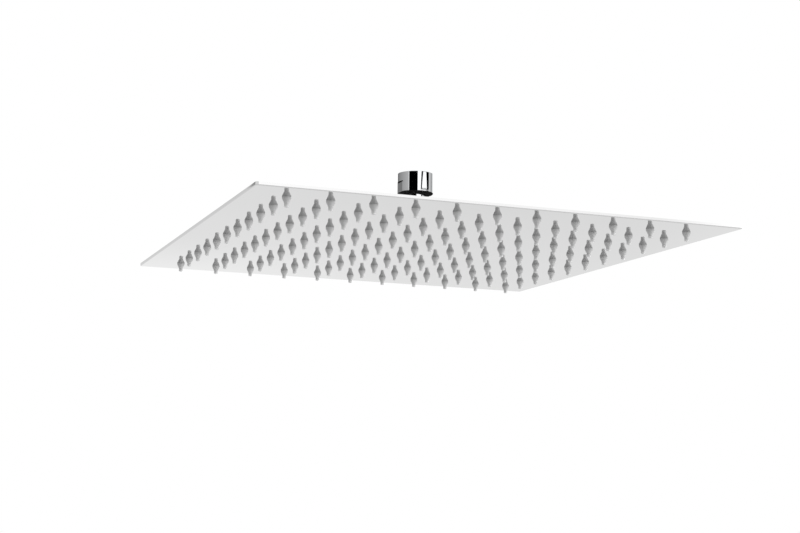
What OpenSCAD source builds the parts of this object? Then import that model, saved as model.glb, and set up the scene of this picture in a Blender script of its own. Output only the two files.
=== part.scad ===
// Square rain shower head of thin polished sheet, hung from a ball swivel with a threaded inlet.
// The origin is the centre of the inlet mouth, +Z points up out of it, and the nozzles point down.

/* [Spray head] */
// Side of the square head
head_side = 300; // [250:10:400]
// Distance from the edge of the head to the first row of nozzles
edge_margin = 24; // [16:1:34]
// Radius of the four corners of the head
corner_r = 1.5; // [1:0.1:4]
// Thickness of the steel sheet of both plates
sheet_t = 0.5; // [0.4:0.1:0.8]
// Height of the water space between the two plates
cavity_h = 1; // [0.9:0.1:2]
// Width of the flat frame that closes the water space at the edge
frame_w = 5; // [3:0.5:8]
// Diameter of the studs that hold the plates apart
stud_d = 4; // [3:0.5:6]

/* [Pressed centre] */
// Diameter of the flat top of the raised centre
dome_top_d = 54; // [48:2:70]
// Width of the slope round the flat top
dome_slope_w = 8; // [4:0.5:14]
// Height of the raised centre above the back plate
dome_h = 2.4; // [1.5:0.1:4]

/* [Nozzles] */
// Diameter of the holes in the spray plate
hole_d = 3.4; // [3:0.1:4]
// Diameter of the nozzle's shoulder under the plate
nozzle_d = 5; // [4.6:0.1:6]
// Distance that a nozzle stands out below the plate
nozzle_h = 5.5; // [4.5:0.1:8]
// Height of the nozzle's straight shoulder
shoulder_h = 0.8; // [0.4:0.1:1.2]
// Diameter of the nozzle's straight tip
tip_d = 2.5; // [2.2:0.1:3]
// Length of the nozzle's straight tip
tip_h = 2.1; // [1.2:0.1:2.5]
// Diameter of the jet's outlet
jet_d = 1; // [0.6:0.1:1.3]
// Diameter of the nozzle's bore above the jet
nozzle_bore_d = 2; // [1.4:0.1:2.2]
// Diameter of the lip that snaps in behind the plate
lip_d = 4.2; // [4:0.1:5]
// Thickness of the lip
lip_t = 0.5; // [0.3:0.1:0.6]

/* [Inlet stem] */
// Diameter to which the inlet is bored before its half inch pipe thread is cut
thread_bore_d = 19; // [18.8:0.1:19.2]
// Depth of the threaded part of the inlet
thread_depth = 7.6; // [7:0.1:9]
// Thickness of the collar's wall round that bore
collar_wall = 2.2; // [1.8:0.1:4]
// Depth of the collar's solid floor, from the screen down to its lower face
collar_floor_h = 3.4; // [3:0.1:6]
// Step from the threaded bore in to the pocket that holds the washer and the screen
washer_step = 0.25; // [0.2:0.05:0.5]
// Depth of the two spanner flats on the collar
flat_cut = 0.8; // [0.3:0.1:0.8]
// Height of the spanner flats, from the collar's lower face up
flat_h = 7.3; // [5:0.1:9]
// Diameter of the neck between the collar and the ball
neck_d = 12.5; // [11.6:0.1:13.4]
// Thickness of the neck's wall round the water way
neck_wall = 1.75; // [1.4:0.05:2.5]
// Distance from the collar's lower face to the centre of the ball
neck_drop = 12; // [11.5:0.1:16]
// Radius of the fillet between the collar and the neck
neck_fillet = 0.6; // [0.4:0.1:2]
// Width of the small chamfers on the collar's two rims
collar_chamfer = 0.3; // [0.2:0.1:0.8]

/* [Ball swivel] */
// Diameter of the ball
ball_d = 18; // [17:0.1:19]
// Clearance between the ball and the rings that hold it
ball_gap = 0.05; // [0.03:0.01:0.09]
// Angle from the axis to the edge of the upper ring, which sets how far the head can tilt
mouth_angle = 60; // [58:1:64]
// Thickness of the upper ring's wall outside the ball's widest part
slip_wall = 1.85; // [1.5:0.05:2.2]
// Height of the upper ring's lower face above the centre of the ball
slip_rise = 0.5; // [0.3:0.1:1.2]
// Thickness of the seal's wall outside the ball's widest part
seal_wall = 1.45; // [1.2:0.05:1.8]
// Bore of the seal under the ball
seal_bore_d = 11; // [10:0.1:12]
// Distance from the centre of the ball down to the seal's upper edge
seal_top_drop = 4; // [3:0.1:5]
// Clearance round and under the seal, which can turn in its seat
seal_gap = 0.05; // [0.03:0.01:0.09]
// Space under the ball down to the floor that the seal lies on
floor_gap = 0.2; // [0.1:0.1:1]

/* [Nut and boss] */
// Thickness of the nut's wall round its thread
nut_wall = 2.5; // [2:0.1:5]
// Depth of the two spanner flats of the nut
nut_flat_cut = 1.2; // [0.8:0.1:1.6]
// Thickness of the nut's lip over the upper ring
nut_lip_t = 2.4; // [1.6:0.1:2.8]
// Distance from the centre of the ball down to the nut's lower face
nut_skirt = 12; // [9:0.5:14]
// Free thread left between the nut and the boss's shoulder
nut_travel = 1; // [0.6:0.1:2]
// Thickness of the threaded spigot's wall round the seal
spigot_wall = 1.95; // [1.7:0.05:3]
// Width of the boss's shoulder outside the spigot
shoulder_w = 1.5; // [1:0.1:3]
// Width of the boss's flange outside its shoulder
flange_w = 7; // [5:0.5:9]
// Thickness of the flange
flange_t = 1.6; // [1.2:0.1:2.5]
// Thickness of the boss under the seal, down to the raised centre
boss_floor_h = 11.2; // [9:0.1:16]
// Diameter of the boss's water way
boss_bore_d = 12; // [9:0.5:14]
// Thickness of the short register that enters the back plate
register_wall = 2.5; // [1.5:0.1:4]

/* [Inlet fittings] */
// Thickness of the inlet washer
washer_t = 1.8; // [1.4:0.1:2]
// Hole of the inlet washer
washer_bore_d = 12; // [10:0.5:13]
// Thickness of the filter screen
screen_t = 0.4; // [0.3:0.1:0.5]
// Width of the ledge that the flow regulator lies on, outside the water way
regulator_ledge = 1.7; // [1.4:0.1:1.8]
// Height of the flow regulator
regulator_h = 2.8; // [2.5:0.1:2.9]
// Radial clearance of the fittings that drop into the stem
drop_in_gap = 0.1; // [0.05:0.01:0.2]
// Thickness of the regulator's rubber ring
ring_cord_d = 1.4; // [1.2:0.1:1.5]

/* [Hidden] */

// The nozzles stand in a square grid with this many rows and columns
grid_n = 11;
pitch = (head_side - 2 * edge_margin) / (grid_n - 1);
// Clearance of the back plate and the frame inside the tray's rim
tray_gap = 0.1;
// Overcut of a cutting shape past the face that it opens
cut = 1;
// Smoothness of small, middle and large round shapes
small_fn = 24;
round_fn = 64;
large_fn = 96;

// Diameters and radii, from the bore and the ball outwards
collar_d = thread_bore_d + 2 * collar_wall;
collar_r = collar_d / 2;
washer_seat_d = thread_bore_d - 2 * washer_step;
neck_r = neck_d / 2;
water_bore_d = neck_d - 2 * neck_wall;
regulator_pocket_d = water_bore_d + 2 * regulator_ledge;
ball_r = ball_d / 2;
seat_r = ball_r + ball_gap;
slip_d = 2 * (seat_r + slip_wall);
seal_d = 2 * (seat_r + seal_wall);
boss_thread_d = seal_d + 2 * seal_gap + 2 * spigot_wall;
nut_d = boss_thread_d + 2 * nut_wall;
shoulder_d = boss_thread_d + 2 * shoulder_w;
flange_d = shoulder_d + 2 * flange_w;
register_d = boss_bore_d + 2 * register_wall;
dome_foot_d = dome_top_d + 2 * dome_slope_w;
slip_top = seat_r * cos(mouth_angle);
mouth_clearance = 0.3;
mouth_r = seat_r * sin(mouth_angle) + mouth_clearance;
mouth_flare = 30;
spigot_gap = 0.4;

// Heights, from the inlet mouth down
head_t = 2 * sheet_t + cavity_h;
washer_top_z = -thread_depth;
screen_top_z = washer_top_z - washer_t;
inlet_floor_z = screen_top_z - screen_t;
regulator_floor_z = inlet_floor_z - regulator_h - drop_in_gap;
collar_z = inlet_floor_z - collar_floor_h;
ball_z = collar_z - neck_drop;
seal_floor_z = ball_z - ball_r - floor_gap;
dome_top_z = seal_floor_z - boss_floor_h;
back_z = dome_top_z - dome_h;
underside_z = back_z - head_t;
nut_top_z = ball_z + slip_top + nut_lip_t;
nut_bottom_z = ball_z - nut_skirt;
boss_shoulder_z = nut_bottom_z - nut_travel;

// Places of the grid lines and of the studs, which stand half a pitch off the nozzles
function grid_place(i) = (i - (grid_n - 1) / 2) * pitch;
stud_steps = [-3.5, -1.5, 1.5, 3.5];

// Square of a given side with true round corners, centred
module rounded_square(side, r) {
    square([side - 2 * r, side], center = true);
    square([side, side - 2 * r], center = true);
    for (x = [-1, 1], y = [-1, 1]) {
        translate([x * (side / 2 - r), y * (side / 2 - r)])
            circle(r = r, $fn = round_fn);
    }
}

// Two flats of a given depth cut into a round part, on its left and right, or turned
module flats(outer_d, depth, low_z, high_z, turn) {
    rotate([0, 0, turn]) {
        for (side = [-1, 1]) {
            translate([side * (outer_d + cut) / 2 - side * depth / 2, 0, (low_z + high_z) / 2])
                cube([depth + cut, outer_d + 2 * cut, high_z - low_z], center = true);
        }
    }
}

// What the bend takes off the lower edge: a quarter round along each side and round each corner
module bend_cutter(side, r, bend) {
    for (turn = [0 : 90 : 270]) {
        rotate([0, 0, turn]) {
            difference() {
                translate([side / 2 - bend, -side / 2 + r, -cut])
                    cube([bend + cut, side - 2 * r, bend + cut]);
                translate([side / 2 - bend, 0, bend])
                    rotate([90, 0, 0])
                        cylinder(r = bend, h = side, center = true, $fn = round_fn);
            }
            translate([side / 2 - r, side / 2 - r, 0])
                intersection() {
                    rotate_extrude($fn = round_fn)
                        difference() {
                            translate([r - bend, -cut])
                                square([bend + cut, bend + cut]);
                            translate([r - bend, bend])
                                circle(r = bend, $fn = round_fn);
                        }
                    translate([0, 0, -2 * cut])
                        cube([r + 2 * cut, r + 2 * cut, bend + 4 * cut]);
                }
        }
    }
}

// Tray of thin sheet: the polished underside with its holes, and the rim bent up from it
module spray_plate() {
    color("#d4d7d9")
    difference() {
        translate([0, 0, underside_z])
            linear_extrude(head_t)
                rounded_square(head_side, corner_r);
        translate([0, 0, underside_z])
            bend_cutter(head_side, corner_r, sheet_t);
        translate([0, 0, underside_z + sheet_t])
            linear_extrude(head_t)
                rounded_square(head_side - 2 * sheet_t, corner_r - sheet_t);
        for (i = [0 : grid_n - 1], j = [0 : grid_n - 1]) {
            translate([grid_place(i), grid_place(j), underside_z - cut])
                cylinder(d = hole_d, h = sheet_t + 2 * cut, $fn = small_fn);
        }
    }
}

// Flat sheet inside the rim, pressed up at the centre to spread the water
module back_plate() {
    side = head_side - 2 * sheet_t - 2 * tray_gap;
    corner = corner_r - sheet_t;
    foot_r = dome_foot_d / 2;
    top_r = dome_top_d / 2;
    color("#c3c7ca")
    difference() {
        union() {
            translate([0, 0, back_z - sheet_t])
                linear_extrude(sheet_t)
                    rounded_square(side, corner);
            translate([0, 0, back_z])
                cylinder(r1 = foot_r, r2 = top_r, h = dome_h, $fn = large_fn);
        }
        translate([0, 0, back_z - 2 * sheet_t])
            cylinder(r1 = foot_r, r2 = top_r, h = dome_h + sheet_t, $fn = large_fn);
        translate([0, 0, back_z])
            cylinder(d = register_d + 2 * tray_gap, h = dome_h + cut, $fn = round_fn);
    }
}

// Flat frame between the plates, along the rim
module rim_frame() {
    side = head_side - 2 * sheet_t - 2 * tray_gap;
    corner = corner_r - sheet_t;
    color("#a9adb0")
    translate([0, 0, underside_z + sheet_t])
        linear_extrude(cavity_h)
            difference() {
                rounded_square(side, corner);
                rounded_square(side - 2 * frame_w, corner);
            }
}

// Studs that carry the back plate on the spray plate
module spacer_studs() {
    color("#a9adb0")
    for (x = stud_steps, y = stud_steps) {
        translate([x * pitch, y * pitch, underside_z + sheet_t])
            cylinder(d = stud_d, h = cavity_h, $fn = small_fn);
    }
}

// Turned boss: register, flange, shoulder and the threaded spigot that holds the seal
module inlet_boss() {
    flange_fillet = 1.5;
    spigot_chamfer = 0.6;
    spigot_top_z = ball_z + slip_rise - spigot_gap;
    flange_top_z = dome_top_z + flange_t;
    color("#b9bdc0")
    difference() {
        union() {
            translate([0, 0, dome_top_z - sheet_t])
                cylinder(d = register_d, h = sheet_t, $fn = round_fn);
            translate([0, 0, dome_top_z])
                cylinder(d = flange_d, h = flange_t, $fn = large_fn);
            translate([0, 0, flange_top_z])
                cylinder(d1 = shoulder_d + 2 * flange_fillet, d2 = shoulder_d, h = flange_fillet,
                    $fn = large_fn);
            translate([0, 0, flange_top_z])
                cylinder(d = shoulder_d, h = boss_shoulder_z - flange_top_z, $fn = large_fn);
            translate([0, 0, boss_shoulder_z])
                cylinder(d = boss_thread_d, h = spigot_top_z - spigot_chamfer - boss_shoulder_z,
                    $fn = large_fn);
            translate([0, 0, spigot_top_z - spigot_chamfer])
                cylinder(d1 = boss_thread_d, d2 = boss_thread_d - 2 * spigot_chamfer, h = spigot_chamfer,
                    $fn = large_fn);
        }
        translate([0, 0, dome_top_z - sheet_t - cut])
            cylinder(d = boss_bore_d, h = spigot_top_z - dome_top_z + sheet_t + 2 * cut, $fn = round_fn);
        translate([0, 0, seal_floor_z])
            cylinder(d = seal_d + 2 * seal_gap, h = spigot_top_z - seal_floor_z + cut, $fn = round_fn);
        flats(shoulder_d, shoulder_w / 2, flange_top_z + flange_fillet, boss_shoulder_z + cut, 90);
    }
}

// Nut with a round shoulder, a flared mouth for the neck and a threaded skirt
module swivel_nut() {
    shoulder_r = 3;
    nut_r = nut_d / 2;
    skirt_chamfer = 0.5;
    slip_low_z = ball_z + slip_rise;
    slip_top_z = ball_z + slip_top;
    flare = nut_lip_t * tan(mouth_flare);
    color("#d9dcde")
    difference() {
        rotate_extrude($fn = large_fn) {
            translate([0, nut_bottom_z + skirt_chamfer])
                square([nut_r, nut_top_z - shoulder_r - nut_bottom_z - skirt_chamfer]);
            translate([0, nut_bottom_z])
                square([nut_r - skirt_chamfer, nut_top_z - nut_bottom_z - shoulder_r]);
            translate([0, nut_top_z - shoulder_r])
                square([nut_r - shoulder_r, shoulder_r]);
            intersection() {
                translate([nut_r - shoulder_r, nut_top_z - shoulder_r])
                    circle(r = shoulder_r, $fn = round_fn);
                translate([nut_r - shoulder_r, nut_top_z - shoulder_r])
                    square([shoulder_r, shoulder_r]);
            }
        }
        translate([0, 0, slip_top_z])
            cylinder(r1 = mouth_r, r2 = mouth_r + flare, h = nut_lip_t, $fn = large_fn);
        translate([0, 0, nut_top_z])
            cylinder(r = mouth_r + flare, h = cut, $fn = large_fn);
        translate([0, 0, slip_low_z - cut])
            cylinder(d = slip_d, h = slip_top_z - slip_low_z + cut, $fn = large_fn);
        translate([0, 0, nut_bottom_z - cut])
            cylinder(d = boss_thread_d, h = slip_low_z - nut_bottom_z + cut, $fn = large_fn);
        flats(nut_d, nut_flat_cut, nut_bottom_z - cut, ball_z - shoulder_r, 90);
    }
}

// Low-friction ring between the nut and the ball
module slip_ring() {
    color("#e9e7e0")
    difference() {
        translate([0, 0, ball_z + slip_rise])
            cylinder(d = slip_d, h = slip_top - slip_rise, $fn = large_fn);
        translate([0, 0, ball_z])
            sphere(r = seat_r, $fn = large_fn);
    }
}

// Rubber ring that seals the ball from below
module ball_seal() {
    low_z = seal_floor_z + seal_gap;
    high_z = ball_z - seal_top_drop;
    color("#2b2b2b")
    difference() {
        translate([0, 0, low_z])
            cylinder(d = seal_d, h = high_z - low_z, $fn = large_fn);
        translate([0, 0, low_z - cut])
            cylinder(d = seal_bore_d, h = high_z - low_z + 2 * cut, $fn = round_fn);
        translate([0, 0, ball_z])
            sphere(r = seat_r, $fn = large_fn);
    }
}

// Outline of the collar and the neck, with chamfers and the fillet between them
module stem_profile() {
    c = collar_chamfer;
    polygon([
        [0, 0],
        [collar_r - c, 0],
        [collar_r, -c],
        [collar_r, collar_z + c],
        [collar_r - c, collar_z],
        [0, collar_z]
    ]);
    translate([0, ball_z])
        square([neck_r, neck_drop]);
    difference() {
        translate([0, collar_z - neck_fillet])
            square([neck_r + neck_fillet, neck_fillet]);
        translate([neck_r + neck_fillet, collar_z - neck_fillet])
            circle(r = neck_fillet, $fn = round_fn);
    }
}

// Turned stem in one piece: threaded collar with spanner flats, neck and ball
module ball_stem() {
    color("#dfe2e4")
    difference() {
        union() {
            rotate_extrude($fn = large_fn)
                stem_profile();
            translate([0, 0, ball_z])
                sphere(r = ball_r, $fn = large_fn);
        }
        translate([0, 0, -thread_depth])
            cylinder(d = thread_bore_d, h = thread_depth + cut, $fn = large_fn);
        translate([0, 0, inlet_floor_z])
            cylinder(d = washer_seat_d, h = thread_depth, $fn = large_fn);
        translate([0, 0, regulator_floor_z])
            cylinder(d = regulator_pocket_d, h = thread_depth, $fn = round_fn);
        translate([0, 0, ball_z - ball_r - cut])
            cylinder(d = water_bore_d, h = ball_r - ball_z, $fn = round_fn);
        flats(collar_d, flat_cut, collar_z - cut, collar_z + flat_h, 0);
    }
}

// Rubber washer that the shower arm presses on
module inlet_washer() {
    color("#3a3a3a")
    translate([0, 0, screen_top_z])
        difference() {
            cylinder(d = washer_seat_d - 2 * drop_in_gap, h = washer_t, $fn = large_fn);
            translate([0, 0, -cut])
                cylinder(d = washer_bore_d, h = washer_t + 2 * cut, $fn = round_fn);
        }
}

// Perforated disc under the washer, with its holes in rings
module filter_screen() {
    hole = 0.9;
    ring_step = 1.7;
    rings = 3;
    color("#c9cccf")
    translate([0, 0, inlet_floor_z])
        difference() {
            cylinder(d = washer_seat_d - 2 * drop_in_gap, h = screen_t, $fn = large_fn);
            translate([0, 0, -cut])
                cylinder(d = hole, h = screen_t + 2 * cut, $fn = small_fn);
            for (ring = [1 : rings], k = [0 : 6 * ring - 1]) {
                rotate([0, 0, k * 60 / ring])
                    translate([ring * ring_step, 0, -cut])
                        cylinder(d = hole, h = screen_t + 2 * cut, $fn = small_fn);
            }
        }
}

// Sizes shared by the regulator's cup and its rubber ring
regulator_r = regulator_pocket_d / 2 - drop_in_gap;
regulator_wall = 0.9;
regulator_floor_t = 0.8;
ring_centre_r = regulator_r - regulator_wall - ring_cord_d / 2 - 0.2;
post_r = ring_centre_r - ring_cord_d / 2;

// Cup with a centre post and a ring of slots under the rubber ring
module flow_regulator() {
    slot_n = 8;
    slot_d = 1;
    low_z = regulator_floor_z + drop_in_gap / 2;
    color("#3f6f8f")
    difference() {
        translate([0, 0, low_z])
            cylinder(r = regulator_r, h = regulator_h, $fn = round_fn);
        difference() {
            translate([0, 0, low_z + regulator_floor_t])
                cylinder(r = regulator_r - regulator_wall, h = regulator_h, $fn = round_fn);
            translate([0, 0, low_z])
                cylinder(r = post_r, h = regulator_h - 0.3, $fn = round_fn);
        }
        for (k = [0 : slot_n - 1]) {
            rotate([0, 0, k * 360 / slot_n])
                translate([ring_centre_r, 0, low_z - cut])
                    cylinder(d = slot_d, h = regulator_floor_t + 2 * cut, $fn = small_fn);
        }
    }
}

// Rubber ring round the regulator's post
module regulator_ring() {
    color("#1f1f1f")
    translate([0, 0, regulator_floor_z + drop_in_gap / 2 + regulator_floor_t + ring_cord_d / 2])
        rotate_extrude($fn = round_fn)
            translate([ring_centre_r, 0])
                circle(d = ring_cord_d, $fn = small_fn);
}

// Soft nozzle: tip, cone and shoulder below the plate, neck through it and lip behind it
module nozzle() {
    neck_gap = 0.05;
    tip_chamfer = 0.3;
    jet_len = 1.6;
    in_r = nozzle_bore_d / 2;
    top_z = sheet_t + lip_t;
    rotate_extrude($fn = small_fn)
        polygon([
            [jet_d / 2, -nozzle_h],
            [tip_d / 2 - tip_chamfer, -nozzle_h],
            [tip_d / 2, -nozzle_h + tip_chamfer],
            [tip_d / 2, -nozzle_h + tip_h],
            [nozzle_d / 2, -shoulder_h],
            [nozzle_d / 2, 0],
            [hole_d / 2 - neck_gap, 0],
            [hole_d / 2 - neck_gap, sheet_t],
            [lip_d / 2, sheet_t],
            [hole_d / 2 - neck_gap, top_z],
            [in_r, top_z],
            [in_r, -nozzle_h + tip_h],
            [jet_d / 2, -nozzle_h + jet_len]
        ]);
}

// One row of nozzles along X, counted from the front edge
module nozzle_row(row) {
    color("#8f9193")
    for (i = [0 : grid_n - 1]) {
        translate([grid_place(i), grid_place(row - 1), underside_z])
            nozzle();
    }
}

spray_plate();
back_plate();
rim_frame();
spacer_studs();
inlet_boss();
swivel_nut();
slip_ring();
ball_seal();
ball_stem();
inlet_washer();
filter_screen();
flow_regulator();
regulator_ring();
nozzle_row(1);  // nozzle_row_01
nozzle_row(2);  // nozzle_row_02
nozzle_row(3);  // nozzle_row_03
nozzle_row(4);  // nozzle_row_04
nozzle_row(5);  // nozzle_row_05
nozzle_row(6);  // nozzle_row_06
nozzle_row(7);  // nozzle_row_07
nozzle_row(8);  // nozzle_row_08
nozzle_row(9);  // nozzle_row_09
nozzle_row(10);  // nozzle_row_10
nozzle_row(11);  // nozzle_row_11
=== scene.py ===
import math
import bmesh
import bpy
from mathutils import Matrix, Vector, noise


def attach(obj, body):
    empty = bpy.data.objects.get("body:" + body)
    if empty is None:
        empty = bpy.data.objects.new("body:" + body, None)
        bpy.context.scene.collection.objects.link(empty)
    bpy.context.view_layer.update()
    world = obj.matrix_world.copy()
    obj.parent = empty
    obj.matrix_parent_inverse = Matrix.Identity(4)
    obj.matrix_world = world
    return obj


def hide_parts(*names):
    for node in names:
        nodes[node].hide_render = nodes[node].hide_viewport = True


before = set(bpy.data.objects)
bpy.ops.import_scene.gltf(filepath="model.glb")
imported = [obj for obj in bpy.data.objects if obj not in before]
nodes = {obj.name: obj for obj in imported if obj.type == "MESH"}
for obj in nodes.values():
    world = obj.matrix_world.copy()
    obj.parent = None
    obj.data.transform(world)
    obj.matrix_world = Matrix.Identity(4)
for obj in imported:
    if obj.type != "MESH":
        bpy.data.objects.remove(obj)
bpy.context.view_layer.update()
mm = 0.001
print("frame loaded:", len(nodes), "solids")


class Wire:  # one socket of a node tree that can be used in a sum
    def __init__(self, kit, socket):
        self.kit, self.socket = kit, socket

    def __add__(self, other):
        return self.kit.maths("ADD", self, other)

    def __radd__(self, other):
        return self.kit.maths("ADD", other, self)

    def __sub__(self, other):
        return self.kit.maths("SUBTRACT", self, other)

    def __rsub__(self, other):
        return self.kit.maths("SUBTRACT", other, self)

    def __mul__(self, other):
        return self.kit.maths("MULTIPLY", self, other)

    def __rmul__(self, other):
        return self.kit.maths("MULTIPLY", other, self)

    def __pow__(self, other):
        return self.kit.maths("POWER", self, other)

    def __rpow__(self, other):
        return self.kit.maths("POWER", other, self)


class Kit:  # builds nodes in one tree
    def __init__(self, tree):
        self.tree = tree
        tree.nodes.clear()

    def node(self, kind, settings=None, inputs=None, output=0):
        made = self.tree.nodes.new(kind)
        for name, value in (settings or {}).items():
            setattr(made, name, value)
        for name, value in (inputs or {}).items():
            if isinstance(value, Wire):
                self.tree.links.new(value.socket, made.inputs[name])
            else:
                made.inputs[name].default_value = value
        return Wire(self, made.outputs[output]) if len(made.outputs) else None

    def maths(self, operation, *values):
        return self.node("ShaderNodeMath", {"operation": operation}, dict(enumerate(values)))

    def place(self):
        return self.node("ShaderNodeTexCoord", output="Object")

    def axis(self, vector, name):
        return self.node("ShaderNodeSeparateXYZ", None, {0: vector}, name)

    def far(self, place):  # distance from the upright axis
        return (self.axis(place, "X") ** 2.0 + self.axis(place, "Y") ** 2.0) ** 0.5

    def stretched(self, vector, scale):
        return self.node("ShaderNodeMapping", {"vector_type": "POINT"}, {"Vector": vector, "Scale": scale})

    def cloud(self, vector, scale, detail=3.0, rough=0.55):
        return self.node("ShaderNodeTexNoise", {"noise_dimensions": "3D"},
                         {"Vector": vector, "Scale": scale, "Detail": detail, "Roughness": rough})

    def ramp(self, value, span, ends=(0.0, 1.0), shape="SMOOTHSTEP"):
        return self.node("ShaderNodeMapRange", {"interpolation_type": shape, "clamp": True},
                         {"Value": value, "From Min": span[0], "From Max": span[1],
                          "To Min": ends[0], "To Max": ends[1]})

    def colour(self, factor, one, two):
        return self.node("ShaderNodeMix", {"data_type": "RGBA"}, {0: factor, 6: one, 7: two}, 2)

    def greys(self, factor, levels):
        return self.colour(factor, greyOf(levels[0]), greyOf(levels[1]))

    def shader(self, base, rough, height, bump, more):  # bump is a strength and a depth
        normal = self.node("ShaderNodeBump", None,
                           {"Strength": bump[0], "Distance": bump[1], "Height": height})
        return self.node("ShaderNodeBsdfPrincipled", None,
                         {"Base Color": base, "Roughness": rough, "Normal": normal, **more})

    def metal(self, base, rough, height, bump):
        return self.shader(base, rough, height, bump, {"Metallic": 1.0})


def greyOf(level, tint=(1.0, 1.0, 1.0)):
    return (level * tint[0], level * tint[1], level * tint[2], 1)


def finish(name, look):
    material = bpy.data.materials.new(name)
    material.use_nodes = True
    kit = Kit(material.node_tree)
    kit.node("ShaderNodeOutputMaterial", None, {"Surface": look(kit)})
    return material


def dress(obj, material):
    if obj.material_slots:
        for held in obj.material_slots:
            held.material = material
    else:
        obj.data.materials.append(material)


# In the finishes, a pair of greys is the darkest and the brightest tone, clouds and grains are counted to
# the metre, and each "...Rough" says how much that pattern adds to the roughness.
polishedSheet = {
    "steel": (0.505, 0.535),
    "edgeTint": 0.95,        # how bright it stays when seen at a low angle
    "clouds": 14.0,
    "grain": (6.0, 900.0, 60.0),
    "rough": 0.03,
    "cloudRough": 0.02,
    "grainShare": (0.6, 0.4),
    "bump": (0.05, 0.01 * mm),
}


def polishedSteel(kit):
    p = polishedSheet
    place = kit.place()
    clouds = kit.cloud(place, p["clouds"], 4.0)
    lines = kit.cloud(kit.stretched(place, p["grain"]), 1.0, 2.0)
    base = kit.greys(clouds, p["steel"])
    rough = p["rough"] + p["cloudRough"] * clouds * (p["grainShare"][0] + p["grainShare"][1] * lines)
    return kit.shader(base, rough, lines, p["bump"],
                      {"Metallic": 1.0, "Specular Tint": greyOf(p["edgeTint"])})


satinSheet = {
    "steel": (0.60, 0.71),
    "clouds": 22.0,
    "grain": (9.0, 1500.0, 40.0),
    "rough": 0.27,
    "grainRough": 0.10,
    "cloudRough": 0.05,
    "weldRough": 0.06,
    "bump": (0.35, 0.12 * mm),
    "grainHeight": 0.15,     # height of the lines where a weld mark is 1 deep
    "weldPitch": 25.2 * mm,  # spacing of the nozzle grid
    "weldMarks": ((1.5, 1.5), (1.5, 3.5), (3.5, 1.5), (3.5, 3.5)),  # in pitches from the middle
    "weldDimple": (1.2 * mm, 2.0 * mm),
    "weldHalo": (1.6 * mm, 4.4 * mm),
    "warmth": 0.35,
    "warmSteel": (0.56, 0.53, 0.49, 1),
}


def satinSteel(kit):
    s = satinSheet
    place = kit.place()
    lines = kit.cloud(kit.stretched(place, s["grain"]), 1.0, 3.0, 0.7)
    clouds = kit.cloud(place, s["clouds"])
    across = kit.maths("ABSOLUTE", kit.axis(place, "X"))
    along = kit.maths("ABSOLUTE", kit.axis(place, "Y"))
    mark, halo = 0.0, 0.0
    for a, b in s["weldMarks"]:  # spot welds over the studs, mirrored into all four quarters
        far = ((across - a * s["weldPitch"]) ** 2.0 + (along - b * s["weldPitch"]) ** 2.0) ** 0.5
        mark = mark + kit.ramp(far, s["weldDimple"], (1.0, 0.0))
        halo = halo + kit.ramp(far, s["weldHalo"], (1.0, 0.0))
    base = kit.colour(halo * s["warmth"] * (0.5 + 0.5 * clouds), kit.greys(lines, s["steel"]), s["warmSteel"])
    rough = s["rough"] + s["grainRough"] * lines + s["cloudRough"] * clouds + s["weldRough"] * mark
    return kit.metal(base, rough, lines * s["grainHeight"] - mark, s["bump"])


rolledSheet = {
    "steel": (0.50, 0.59),
    "clouds": 160.0,
    "grain": (12.0, 700.0, 90.0),
    "rough": 0.34,
    "grainRough": 0.12,
    "cloudRough": 0.06,
    "bump": (0.25, 0.04 * mm),
}


def rolledSteel(kit):
    r = rolledSheet
    place = kit.place()
    lines = kit.cloud(kit.stretched(place, r["grain"]), 1.0)
    clouds = kit.cloud(place, r["clouds"], 4.0)
    rough = r["rough"] + r["grainRough"] * lines + r["cloudRough"] * clouds
    return kit.metal(kit.greys(clouds, r["steel"]), rough, lines, r["bump"])


weldedSeam = {
    "dark": greyOf(0.50, (1.0, 0.96, 0.9)),
    "bright": greyOf(0.64),
    "clouds": 90.0,
    "ripples": 222.93,
    "rough": 0.22,
    "cloudRough": 0.16,
    "bump": (0.5, 0.06 * mm),
}


def seamSteel(kit):
    w = weldedSeam
    place = kit.place()
    ripples = kit.node("ShaderNodeTexWave",
                       {"wave_type": "BANDS", "bands_direction": "DIAGONAL", "wave_profile": "SIN"},
                       {"Vector": place, "Scale": w["ripples"], "Distortion": 2.0, "Detail": 1.0})
    clouds = kit.cloud(place, w["clouds"])
    base = kit.colour(clouds, w["dark"], w["bright"])
    return kit.metal(base, w["rough"] + w["cloudRough"] * clouds, ripples, w["bump"])


chromePlate = {
    "dark": greyOf(0.70, (0.99, 1.0, 1.01)),
    "bright": greyOf(0.74, (0.99, 1.0, 1.01)),
    "clouds": 70.0,
    "spots": 420.0,
    "spotSpan": (0.62, 0.74),
    "rough": 0.016,
    "cloudRough": 0.012,
    "spotRough": 0.01,
    "bump": (0.04, 0.04 * mm),
}


def chrome(kit):
    c = chromePlate
    place = kit.place()
    clouds = kit.cloud(place, c["clouds"])
    dried = kit.ramp(kit.cloud(place, c["spots"], 2.0), c["spotSpan"])  # dried drops
    rough = c["rough"] + c["cloudRough"] * clouds + c["spotRough"] * dried
    return kit.metal(kit.colour(clouds, c["dark"], c["bright"]), rough, clouds, c["bump"])


turnedPart = {
    "chrome": (0.69, 0.75),
    "clouds": 120.0,
    "rings": 16328.0,        # turning rings, in radians to the metre
    "slope": 0.6,            # how much of that goes up the sides
    "rough": 0.12,
    "cloudRough": 0.05,
    "ringRough": 0.02,
    "bump": (0.12, 0.02 * mm),
}


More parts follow.
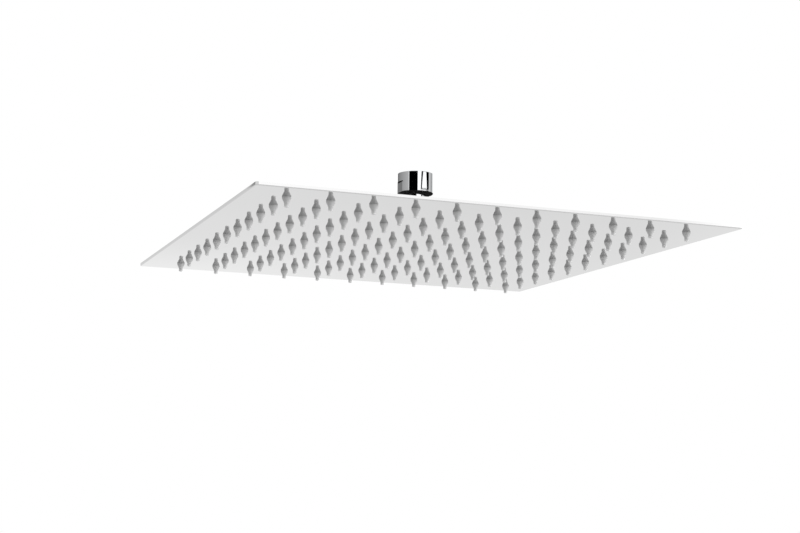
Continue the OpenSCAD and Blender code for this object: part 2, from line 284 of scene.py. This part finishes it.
def turnedChrome(kit):
    t = turnedPart
    place = kit.place()
    rings = kit.maths("SINE", (kit.far(place) + kit.axis(place, "Z") * t["slope"]) * t["rings"])
    clouds = kit.cloud(place, t["clouds"])
    rough = t["rough"] + t["cloudRough"] * clouds + t["ringRough"] * rings
    return kit.metal(kit.greys(clouds, t["chrome"]), rough, rings, t["bump"])


wireFinish = {
    "steel": (0.62, 0.76),
    "grain": 2500.0,
    "rough": 0.24,
    "grainRough": 0.1,
    "bump": (0.2, 0.02 * mm),
}


def wireSteel(kit):
    w = wireFinish
    grain = kit.cloud(kit.place(), w["grain"], 2.0)
    return kit.metal(kit.greys(grain, w["steel"]), w["rough"] + w["grainRough"] * grain, grain, w["bump"])


nozzleSilicone = {
    "root": 0.56,            # grey at the plate, kept darker there as painted shade
    "cone": 0.66,            # grey where the cone ends
    "tip": 0.90,             # grey of the thin tip, paler as painted light that stands for light shining through it
    "coneSpan": (-50.4 * mm, -53.4 * mm),
    "tipSpan": (-53.4 * mm, -55.4 * mm),
    "clouds": 60.0,
    "spread": 0.8 * mm,      # how unevenly the tones begin
    "grain": 2600.0,
    "rough": 0.42,
    "grainRough": 0.12,
    "bump": (0.12, 0.03 * mm),
    "index": 1.41,
    "gloss": 0.3,
}


def greySilicone(kit):
    n = nozzleSilicone
    place = kit.place()
    clouds = kit.cloud(place, n["clouds"], 2.0)
    grain = kit.cloud(place, n["grain"], 3.0, 0.6)
    # the grey runs from dark at the plate to pale at the tip: painted shade at the root, painted light at the
    # tip
    height = kit.axis(place, "Z") + n["spread"] * (clouds - 0.5)
    base = kit.greys(kit.ramp(height, n["coneSpan"], shape="LINEAR"), (n["root"], n["cone"]))
    base = kit.colour(kit.ramp(height, n["tipSpan"]), base, greyOf(n["tip"]))
    return kit.shader(base, n["rough"] + n["grainRough"] * grain, grain, n["bump"],
                      {"IOR": n["index"], "Specular IOR Level": n["gloss"]})


blackRing = {
    "black": (0.035, 0.077),
    "dust": 240.0,
    "dustSpan": (0.45, 0.8),
    "grain": 1900.0,
    "rough": 0.52,
    "grainRough": 0.25,
    "bump": (0.2, 0.04 * mm),
    "index": 1.5,
}


def blackRubber(kit):
    b = blackRing
    place = kit.place()
    grain = kit.cloud(place, b["grain"], 4.0, 0.6)
    dust = kit.ramp(kit.cloud(place, b["dust"]), b["dustSpan"])
    return kit.shader(kit.greys(dust, b["black"]), b["rough"] + b["grainRough"] * grain, grain, b["bump"],
                      {"IOR": b["index"]})


# Near-black painted shade, laid on the stem's shaded corners and lower edge and on the ring under the collar.
paintedShadeLook = {
    "black": (0.004, 0.010),
    "grain": 2400.0,
    "rough": 0.8,
    "grainRough": 0.1,
    "bump": (0.2, 0.04 * mm),
    "gloss": 0.08,
}


def paintedShadeBlack(kit):
    d = paintedShadeLook
    grain = kit.cloud(kit.place(), d["grain"], 4.0, 0.6)
    return kit.shader(kit.greys(grain, d["black"]), d["rough"] + d["grainRough"] * grain, grain, d["bump"],
                      {"Specular IOR Level": d["gloss"]})


acetalRing = {
    "white": (0.86, 0.85, 0.80, 1),
    "shade": (0.80, 0.79, 0.73, 1),
    "clouds": 180.0,
    "rings": 14000.0,        # turning rings, in radians to the metre
    "rough": 0.33,
    "cloudRough": 0.12,
    "bump": (0.08, 0.02 * mm),
    "index": 1.48,
}


def whiteAcetal(kit):
    a = acetalRing
    place = kit.place()
    clouds = kit.cloud(place, a["clouds"])
    rings = kit.maths("SINE", kit.far(place) * a["rings"])
    return kit.shader(kit.colour(clouds, a["white"], a["shade"]), a["rough"] + a["cloudRough"] * clouds,
                      rings, a["bump"], {"IOR": a["index"]})


regulatorBody = {
    "blue": (0.20, 0.36, 0.48, 1),
    "shade": (0.16, 0.31, 0.43, 1),
    "flow": (300.0, 300.0, 1200.0),
    "rough": 0.36,
    "flowRough": 0.14,
    "bump": (0.1, 0.03 * mm),
    "index": 1.48,
}


def blueAcetal(kit):
    r = regulatorBody
    flow = kit.cloud(kit.stretched(kit.place(), r["flow"]), 1.0)
    return kit.shader(kit.colour(flow, r["blue"], r["shade"]), r["rough"] + r["flowRough"] * flow,
                      flow, r["bump"], {"IOR": r["index"]})


polished = finish("polishedSteel", polishedSteel)
satin = finish("satinSteel", satinSteel)
rolled = finish("rolledSteel", rolledSteel)
seam = finish("seamSteel", seamSteel)
chromed = finish("chrome", chrome)
turned = finish("turnedChrome", turnedChrome)
wire = finish("wireSteel", wireSteel)
silicone = finish("greySilicone", greySilicone)
rubber = finish("blackRubber", blackRubber)
shadeBlack = finish("paintedShadeBlack", paintedShadeBlack)
acetal = finish("whiteAcetal", whiteAcetal)
regulator = finish("blueAcetal", blueAcetal)

finishes = {
    "spray_plate": polished, "back_plate": satin, "rim_frame": rolled, "spacer_studs": rolled,
    "inlet_boss": turned, "swivel_nut": chromed, "slip_ring": acetal, "ball_seal": rubber,
    "ball_stem": chromed, "inlet_washer": rubber, "filter_screen": wire,
    "flow_regulator": regulator, "regulator_ring": rubber,
}
for name, node in nodes.items():
    dress(node, finishes.get(name, silicone))  # the others are the nozzle rows
print("finishes laid on", len(nodes), "solids")


def putIn(name, data):  # a new object in the scene
    obj = bpy.data.objects.new(name, data)
    bpy.context.scene.collection.objects.link(obj)
    return obj


def meshOf(bm, name):
    mesh = bpy.data.meshes.new(name)
    bm.to_mesh(mesh)
    bm.free()
    return mesh


def keep(bm, name, material, body):
    bmesh.ops.remove_doubles(bm, verts=bm.verts, dist=0.001 * mm)
    bmesh.ops.recalc_face_normals(bm, faces=bm.faces)
    obj = putIn(name, meshOf(bm, name))
    obj.data.materials.append(material)
    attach(obj, body)
    return obj


def smooth(obj, angle=35.0):
    for face in obj.data.polygons:
        face.use_smooth = True
    obj.data.set_sharp_from_angle(angle=math.radians(angle))


def turn(bm, outline, steps):  # turns a closed outline of (radius, height) in mm about the upright axis
    verts = [bmesh.ops.create_vert(bm, co=(r * mm, 0, z * mm))["vert"][0] for r, z in outline]
    edges = [bm.edges.new(pair) for pair in zip(verts, verts[1:] + verts[:1])]
    bmesh.ops.spin(bm, geom=verts + edges, cent=(0, 0, 0), axis=(0, 0, 1), dvec=(0, 0, 0),
                   angle=2 * math.pi, steps=steps, use_merge=True, use_duplicate=False)
    bmesh.ops.remove_doubles(bm, verts=bm.verts, dist=0.0001 * mm)


def arc(centre, radius, start, end, steps):  # points on an arc, in mm and degrees
    angles = [math.radians(start + (end - start) * k / steps) for k in range(steps + 1)]
    return [(centre[0] + radius * math.cos(a), centre[1] + radius * math.sin(a)) for a in angles]


# Heights are below the inlet's mouth, which is at 0. All in mm.
stem = {
    "collarRadius": 11.7,
    "collarBottom": -13.2,
    "chamfer": 0.3,
    "lowEdge": 0.15,         # rounding of the collar's lower edge, which is painted black as shade
    "flatTop": -5.9,
    "flatReach": 10.9,       # distance of the spanner flats from the axis
    "flatSlack": 0.05,       # points that stand out less than this stay on the round wall
    "flatMargin": 0.1,       # faces and edges this close to a flat or its top belong to it
    "flatEnd": 4.0,          # a flat's upright edges lie further to the side than this
    "cornerShade": 0.7,       # height of the painted shade in the corner at the top of each flat
    "neckRadius": 6.25,
    "fillet": 0.15,
    "ballRadius": 9.0,
    "ballHeight": -25.2,
    "boreRadius": 4.5,
    "pocketRadius": 6.2,
    "pocketFloor": -12.7,
    "seatRadius": 9.25,
    "seatTop": -7.6,
    "seatFloor": -9.8,
    "plainBore": 9.5,        # where the thread has run out
    "threadPitch": 1.814,
    "threadCrest": 9.32,
    "threadRoot": 10.45,
    "threadFlank": 1.25,     # above 1 the flanks run straight and only crests and roots are round
    "leadIn": 0.15,          # how much wider than the thread's root the mouth is
    "runOut": 0.9,           # height over which the thread fades out above the washer
    "steps": 120,
    "levels": 84,            # rings of points in the thread
    "sharpAngle": 32.0,
}
near = 0.01  # places closer than this count as one, in mm
# Extra rings near the stem's corners, which hold its shading. Each number is the distance from the corner.
holdRings = {"mouth": 0.12, "rim": 0.08, "aboveFlat": (0.2, 0.04), "lowEdge": 0.05, "underside": 1.4,
             "neckTop": 0.05, "neckFoot": 1.2}


def threadRadius(height, angle):
    s = stem
    wave = 0.5 + 0.5 * math.cos(2 * math.pi * (height / s["threadPitch"]) + angle)
    wave = min(1.0, max(0.0, 0.5 + (wave - 0.5) * s["threadFlank"]))
    radius = s["threadCrest"] + (s["threadRoot"] - s["threadCrest"]) * wave
    radius = max(radius, s["threadRoot"] + s["leadIn"] + height)  # lead in chamfer at the mouth
    fade = min(1.0, max(0.0, (height - s["seatTop"]) / s["runOut"]))
    return s["plainBore"] + (radius - s["plainBore"]) * fade


def stemOutline():
    s, hold = stem, holdRings
    wall, chamfer, fillet, lowEdge = s["collarRadius"], s["chamfer"], s["fillet"], s["lowEdge"]
    bottom, flatTop, neck = s["collarBottom"], s["flatTop"], s["neckRadius"]
    neckBase = math.sqrt(s["ballRadius"] ** 2 - neck ** 2)
    ballTurn = math.degrees(math.asin(neckBase / s["ballRadius"]))
    ballEnd = -math.degrees(math.acos(s["boreRadius"] / s["ballRadius"]))
    outline = [(s["threadRoot"] + s["leadIn"], 0.0), (wall - chamfer - hold["mouth"], 0.0)]
    outline += arc((wall - chamfer, -chamfer), chamfer, 90, 0, 5)
    outline += [(wall, -chamfer - hold["rim"])]
    outline += [(wall, flatTop + above) for above in hold["aboveFlat"]]
    outline += [(wall, flatTop), (wall, flatTop - s["cornerShade"])]
    outline += [(wall, flatTop + (bottom + lowEdge - flatTop) * k / 4) for k in (1, 2, 3)]
    outline += [(wall, bottom + lowEdge + hold["lowEdge"])]
    outline += arc((wall - lowEdge, bottom + lowEdge), lowEdge, 0, -90, 4)
    outline += [(neck + fillet + hold["underside"], bottom)]
    outline += arc((neck + fillet, bottom - fillet), fillet, 90, 180, 8)
    outline += [(neck, bottom - fillet - hold["neckTop"]),
                (neck, s["ballHeight"] + neckBase + hold["neckFoot"])]
    outline += arc((0, s["ballHeight"]), s["ballRadius"], ballTurn, ballEnd, 40)
    outline += [(s["boreRadius"], s["pocketFloor"]), (s["pocketRadius"], s["pocketFloor"]),
                (s["pocketRadius"], s["seatFloor"]), (s["seatRadius"], s["seatFloor"]),
                (s["seatRadius"], s["seatTop"])]
    outline += [(s["plainBore"], s["seatTop"] * (1 - k / s["levels"])) for k in range(s["levels"])]
    return outline


def isCorner(ends):  # edges round a spanner flat that stay crisp; ends in mm
    s = stem
    reach, top = s["flatReach"], s["flatTop"]
    ledge = all(-near < end.z - top < s["flatSlack"] and abs(end.x) > reach - s["flatMargin"] for end in ends)
    onFlat = all(abs(abs(end.x) - reach) < 3 * near and end.z < top + near for end in ends)
    upright = abs(ends[0].y - ends[1].y) < near and abs(ends[0].y) > s["flatEnd"]
    return ledge or (onFlat and upright)


def isPaintedShade(face):  # painted shade: the corner at the top of each flat, and the collar's lower edge
    s = stem
    out, height = abs(face.center.x) / mm - s["flatReach"], face.center.z / mm
    atTop = s["flatTop"] - s["cornerShade"] < height < s["flatTop"] + s["flatMargin"]
    inCornerShade = atTop and out > -s["flatMargin"] and (face.normal.z < -0.5 or out < near)
    return inCornerShade or s["collarBottom"] < height < s["collarBottom"] + s["lowEdge"] + holdRings["lowEdge"]


def makeStem():
    s = stem
    bm = bmesh.new()
    turn(bm, stemOutline(), s["steps"])
    for vert in bm.verts:
        x, y, z = (value / mm for value in vert.co)
        if abs(math.hypot(x, y) - s["plainBore"]) < near and z > s["seatTop"] + near:
            angle = math.atan2(y, x)
            radius = threadRadius(z, angle)
            vert.co = (radius * math.cos(angle) * mm, radius * math.sin(angle) * mm, z * mm)
        if z < s["flatTop"] + near and abs(x) > s["flatReach"] + s["flatSlack"]:
            vert.co.x = math.copysign(s["flatReach"], x) * mm
    made = keep(bm, "threaded_stem", chromed, "stem")
    smooth(made, s["sharpAngle"])
    for edge in made.data.edges:
        if isCorner([made.data.vertices[k].co / mm for k in edge.vertices]):
            edge.use_edge_sharp = True
    # faces that carry painted shade get the near-black material
    made.data.materials.append(shadeBlack)
    for face in made.data.polygons:
        face.material_index = int(isPaintedShade(face))
    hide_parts("ball_stem")


underShade = {"inner": 6.2, "outer": 11.5, "top": -13.18, "bottom": -13.38, "edge": 0.05}


def makeUnderShade():  # thin near-black ring under the collar, painted shade that darkens the collar's underside
    d = underShade
    bm = bmesh.new()
    turn(bm, [(d["inner"], d["top"]), (d["outer"], d["top"]), (d["outer"], d["bottom"] + d["edge"]),
              (d["outer"] - d["edge"], d["bottom"]), (d["inner"] + d["edge"], d["bottom"]),
              (d["inner"], d["bottom"] + d["edge"])], 96)
    smooth(keep(bm, "under_shade", shadeBlack, "stem"))


makeStem()
makeUnderShade()
print("stem cut")


gauze = {
    "radius": 9.15,
    "height": -9.6,          # middle of the weave
    "wire": 0.19,            # wire diameter
    "pitch": 0.72,
    "rimWidth": 0.9,
    "rimHalf": 0.2,
    "rimEdge": 0.1,
    "rimBulge": 0.08,
}


def makeGauze():
    g = gauze
    curve = bpy.data.curves.new("woven_screen", "CURVE")
    curve.dimensions = "3D"
    curve.bevel_depth = g["wire"] / 2 * mm
    curve.bevel_resolution = 1
    curve.use_fill_caps = True
    reach = g["radius"] - g["rimWidth"] * 0.5
    count = int(reach / g["pitch"])
    for across in (0, 1):
        for k in range(-count, count + 1):
            off = k * g["pitch"]
            half = math.sqrt(reach ** 2 - off ** 2)
            steps = max(2, int(half / g["pitch"] * 2))
            spline = curve.splines.new("POLY")
            spline.points.add(2 * steps)
            for i in range(2 * steps + 1):
                run = half * (i - steps) / steps
                wave = math.cos(math.pi * (run / g["pitch"] + k + across)) * (g["wire"] / 2)
                spot = (run, off) if across == 0 else (off, run)
                spline.points[i].co = (spot[0] * mm, spot[1] * mm, (g["height"] + wave) * mm, 1)
    woven = putIn("woven_screen", curve)
    woven.data.materials.append(wire)
    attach(woven, "stem")
    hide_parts("filter_screen")


def makeScreenRim():
    g = gauze
    inner, outer, edge = g["radius"] - g["rimWidth"], g["radius"], g["rimEdge"]
    low, high = g["height"] - g["rimHalf"], g["height"] + g["rimHalf"]
    bm = bmesh.new()
    turn(bm, [(inner, low), (outer - edge, low), (outer, low + edge), (outer, high - edge),
              (outer - edge, high), (inner, high), (inner - g["rimBulge"], g["height"])], 72)
    smooth(keep(bm, "screen_rim", wire, "stem"))


makeGauze()
makeScreenRim()
print("screen woven")


braze = {
    "flangeRadius": 21.0,
    "domeTop": -45.6,
    "fillet": 0.75,
    "overlap": 0.03,         # how far it reaches into flange and dome
    "waviness": 0.10,
    "waves": 9.0,
}


def makeBraze():
    b = braze
    radius, height, fillet = b["flangeRadius"] - b["overlap"], b["domeTop"] - b["overlap"], b["fillet"]
    bm = bmesh.new()
    turn(bm, [(radius, height), (radius, height + fillet)]
         + arc((radius + fillet, height + fillet), fillet, 180, 270, 6)[1:], 160)
    for vert in bm.verts:
        far = math.hypot(vert.co.x, vert.co.y)
        if far > (radius + 0.02) * mm:
            push = noise.noise(vert.co.normalized() * b["waves"]) * b["waviness"] * mm
            vert.co.x *= 1 + push / far
            vert.co.y *= 1 + push / far
    smooth(keep(bm, "brazed_fillet", seam, "head"), 60)


edgeSeam = {
    "middle": 149.42,        # its middle line lies this far from the axes
    "half": 0.32,
    "corner": 1.2,
    "plateTop": -48.0,
    "sunk": 0.02,            # how deep its feet stand in the plates
    "rise": 0.10,
}


def makeSeam():  # a low ridge between tray and back plate
    e = edgeSeam
    bm = bmesh.new()
    bmesh.ops.create_grid(bm, x_segments=1, y_segments=1, size=(e["middle"] + e["half"]) * mm)
    bmesh.ops.translate(bm, verts=bm.verts, vec=(0, 0, (e["plateTop"] - e["sunk"]) * mm))
    bmesh.ops.bevel(bm, geom=list(bm.verts), offset=e["corner"] * mm, offset_type="OFFSET", segments=6,
                    profile=0.5, affect="VERTICES", material=-1)
    centre = list(bm.faces)
    inset = {"faces": centre, "thickness": e["half"] * mm, "use_even_offset": True, "use_boundary": True}
    bmesh.ops.inset_region(bm, **inset)
    ridge = list(centre[0].verts)
    bmesh.ops.inset_region(bm, **inset)
    bmesh.ops.translate(bm, verts=ridge, vec=(0, 0, (e["rise"] + e["sunk"]) * mm))
    bmesh.ops.delete(bm, geom=centre, context="FACES_ONLY")
    bmesh.ops.bridge_loops(bm, edges=[edge for edge in bm.edges if edge.is_boundary])
    smooth(keep(bm, "edge_seam", seam, "head"), 70)


makeBraze()
makeSeam()
print("seams laid")


studio = {
    "roomLight": 0.68,       # even light from all round
    "lamps": {               # power in watts, side in metres, place
        "softbox": (9.0, 1.6, (0.9, -1.2, 1.5)),
        "side_softbox": (18.0, 1.0, (1.8, -0.9, -0.45)),
    },
    "floorHeight": -1.45,
    "floorHalf": 3.85,
    "floorShade": (0.63, 0.65),
    "floorFibres": 400.0,
    "floorGlow": 0.55,       # what the floor adds for the camera, so that it shows white
}
# What polished metal sees beyond the floor. A span runs from where its part is absent to where it is full,
# up and down as a "...Rise" and from left to right as a "...Side".
mirrorRoom = {
    "wall": 1.06,
    "glow": 0.15,
    "lowGlow": 0.75, "lowRise": (-0.172, -0.146), "lowSide": (0.40, 0.20),
    "leftGlow": 0.33, "leftSide": (0.42, 0.26),
    "rightGlow": 0.5, "rightSide": (0.50, 0.58),
    "band": 0.85,            # how much darker it gets at eye level, which the photo's view never shows
    "bandRise": ((-0.11, -0.03), (0.12, 0.04)),
    "bandSide": (-0.5, 0.6), "bandLeast": 0.3,
}


def room():
    m = mirrorRoom
    world = bpy.data.worlds.new("room")
    world.use_nodes = True
    bpy.context.scene.world = world
    kit = Kit(world.node_tree)
    camera, glossy, through = (kit.node("ShaderNodeLightPath", output=name)
                               for name in ("Is Camera Ray", "Is Glossy Ray", "Is Transmission Ray"))
    direction = kit.node("ShaderNodeTexCoord", output="Generated")
    rise, side = kit.axis(direction, "Z"), kit.axis(direction, "X")
    glow = (m["lowGlow"] * kit.ramp(rise, m["lowRise"]) * kit.ramp(side, m["lowSide"])
            + m["leftGlow"] * kit.ramp(side, m["leftSide"]) + m["rightGlow"] * kit.ramp(side, m["rightSide"]))
    under, over = (kit.ramp(rise, span) for span in m["bandRise"])
    band = under * over * (m["bandLeast"] + (1.0 - m["bandLeast"]) * kit.ramp(side, m["bandSide"]))
    mirrored = m["wall"] + m["glow"] * glow - m["band"] * band
    background = kit.colour(glossy, (1, 1, 1, 1), mirrored)
    shown = kit.maths("MAXIMUM", kit.maths("MAXIMUM", camera, glossy), through)
    light = kit.node("ShaderNodeBackground", None, {"Color": (1, 1, 1, 1), "Strength": studio["roomLight"]})
    back = kit.node("ShaderNodeBackground", None, {"Color": background, "Strength": 1.0})
    mixed = kit.node("ShaderNodeMixShader", None, {0: shown, 1: light, 2: back})
    kit.node("ShaderNodeOutputWorld", None, {"Surface": mixed})


def floorPaper(kit):
    fibres = kit.cloud(kit.place(), studio["floorFibres"], 2.0)
    paper = kit.node("ShaderNodeBsdfDiffuse", None, {"Color": kit.greys(fibres, studio["floorShade"])})
    seen = kit.maths("MAXIMUM", kit.node("ShaderNodeLightPath", output="Is Camera Ray"),
                     kit.node("ShaderNodeLightPath", output="Is Glossy Ray"))
    glow = kit.node("ShaderNodeEmission", None, {"Color": seen * studio["floorGlow"], "Strength": 1.0})
    return kit.node("ShaderNodeAddShader", None, {0: paper, 1: glow})


def makeFloor():
    bm = bmesh.new()
    bmesh.ops.create_grid(bm, x_segments=4, y_segments=4, size=studio["floorHalf"])
    bmesh.ops.translate(bm, verts=bm.verts, vec=(0, 0, studio["floorHeight"]))
    floor = putIn("floor", meshOf(bm, "floor"))
    floor.data.materials.append(finish("floorPaper", floorPaper))


# Upright cards round the shower head, which only polished metal sees: nothing else is lit or shaded by them.
# Each one gives its two edges in degrees from the camera's side, anticlockwise from above, its lower and
# upper height, how many degrees each lower corner stands further round, its distance, and its grey at the
# first edge, in the middle and at the last edge.
cards = {
    "left_dark": (-158, -128, 0.252, 0.85, (0, 0), 1.30, (0.12, 0.17, 0.30)),
    "left_grey": (-128, -44, 0.2597, 0.85, (0, 0), 1.30, (0.31, 0.445, 0.58)),
    "front_black": (-41, 15, 0.225, 0.85, (0, 0), 1.30, (0.0, 0.0, 0.0)),
    "front_white": (15, 75, 0.225, 0.85, (0, 0), 1.30, (1.45, 1.45, 1.45)),
    "slit_black": (43.5, 97.5, 0.2597, 0.31, (-8.5, 0), 1.29, (0.0, 0.0, 0.0)),
    "arch_black": (43.5, 97.5, 0.31, 0.85, (0, 0), 1.29, (0.0, 0.0, 0.0)),
    "wedge_white": (53, 73.5, 0.2597, 0.2890, (-10, 6.5), 1.28, (1.45, 1.45, 1.45)),
    "right_black": (75, 95, 0.225, 0.2612, (0, 0), 1.30, (0.0, 0.0, 0.0)),
    "right_grey": (97.5, 142, 0.225, 0.85, (0, 0), 1.30, (0.89, 0.555, 0.355)),
    "corner_dark": (-134.5, -105, 0.236, 0.2595, (0, 0), 1.29, (0.30, 0.25, 0.50)),
    "low_neck": (-128, -41, 0.238, 0.2597, (0, 0), 1.30, (0.0, 0.0, 0.0)),
    "low_left": (-158, -128, 0.08, 0.252, (0, 0), 1.30, (0.97, 0.97, 0.97)),
    "low_white": (24, 48, -0.02, 0.225, (0, 0), 1.30, (1.95, 1.82, 1.75)),
    "low_pale": (48, 60, -0.02, 0.225, (0, 0), 1.30, (1.75, 1.60, 2.15)),
    "low_right": (60, 135, -0.02, 0.225, (0, 0), 1.30, (2.15, 2.30, 2.30)),
}
cardSteps = 24
sight = {
    "place": (-0.3480, -0.8615, -0.2079),
    "yaw": -21.41, "pitch": 8.951, "roll": 0.628,
    "focal": 1442.75,        # in pixels of the picture
    "width": 800,
    "sensor": 36.0,
}


def cardLight(kit):
    shade = kit.node("ShaderNodeAttribute", {"attribute_name": "shade", "attribute_type": "GEOMETRY"},
                     output="Fac")
    return kit.node("ShaderNodeEmission", None, {"Color": shade, "Strength": 1.0})


def shadeAt(share, greys):
    first, middle, last = greys
    if share < 0.5:
        return first + (middle - first) * 2 * share
    return middle + (last - middle) * (2 * share - 1)


def about(angle):  # a turn about the upright axis
    return Matrix.Rotation(angle, 3, "Z")


def makeCards():
    towards = math.atan2(sight["place"][1], sight["place"][0])
    paint = finish("cardLight", cardLight)
    for name, (start, end, low, high, feet, distance, greys) in cards.items():
        bm = bmesh.new()
        shade = bm.verts.layers.float.new("shade")
        ends = [bmesh.ops.create_vert(bm, co=(distance, 0, z))["vert"][0] for z in (low, high)]
        edge = bm.edges.new(ends)
        bmesh.ops.rotate(bm, verts=ends, cent=(0, 0, 0), matrix=about(towards + math.radians(start)))
        bmesh.ops.spin(bm, geom=ends + [edge], cent=(0, 0, 0), axis=(0, 0, -1), dvec=(0, 0, 0),
                       angle=math.radians(start - end), steps=cardSteps, use_merge=False, use_duplicate=False)
        for vert in bm.verts:
            turned = math.degrees(math.atan2(vert.co.y, vert.co.x) - towards)
            share = (((turned - start + 180) % 360) - 180) / (end - start)
            vert[shade] = shadeAt(share, greys)
            if vert.co.z < low + 0.1 * mm:  # a lower corner or a point between them
                aside = math.radians(feet[0] + (feet[1] - feet[0]) * share)
                bmesh.ops.rotate(bm, verts=[vert], cent=(0, 0, 0), matrix=about(aside))
        card = putIn(name, meshOf(bm, name))
        card.data.materials.append(paint)
        card.visible_camera = False
        card.visible_diffuse = False
        card.visible_shadow = False
        card.visible_transmission = False
        card.visible_volume_scatter = False


def makeLamps():
    for name, (power, side, place) in studio["lamps"].items():
        lamp = bpy.data.lights.new(name, "AREA")
        lamp.shape = "SQUARE"
        lamp.size = side
        lamp.energy = power
        hung = putIn(name, lamp)
        hung.location = place
        hung.rotation_mode = "QUATERNION"
        hung.rotation_quaternion = (-Vector(place)).to_track_quat("-Z", "Y")
        hung.visible_glossy = False


def makeCamera():
    yaw, pitch, roll = (math.radians(sight[name]) for name in ("yaw", "pitch", "roll"))
    ahead = Vector((-math.sin(yaw) * math.cos(pitch), math.cos(yaw) * math.cos(pitch), math.sin(pitch)))
    level = Vector((math.cos(yaw), math.sin(yaw), 0))
    upright = level.cross(ahead)
    right = math.cos(roll) * level + math.sin(roll) * upright
    up = math.cos(roll) * upright - math.sin(roll) * level
    camera = putIn("camera", bpy.data.cameras.new("camera"))
    turned = Matrix((right, up, -ahead)).transposed().to_4x4()
    camera.matrix_world = Matrix.Translation(sight["place"]) @ turned
    camera.data.sensor_width = sight["sensor"]
    camera.data.lens = sight["sensor"] * sight["focal"] / sight["width"]
    camera.data.clip_start = 0.01
    bpy.context.scene.camera = camera


room()
makeFloor()
makeCards()
makeLamps()
makeCamera()
bpy.context.scene.view_settings.view_transform = "Standard"
print("studio set")
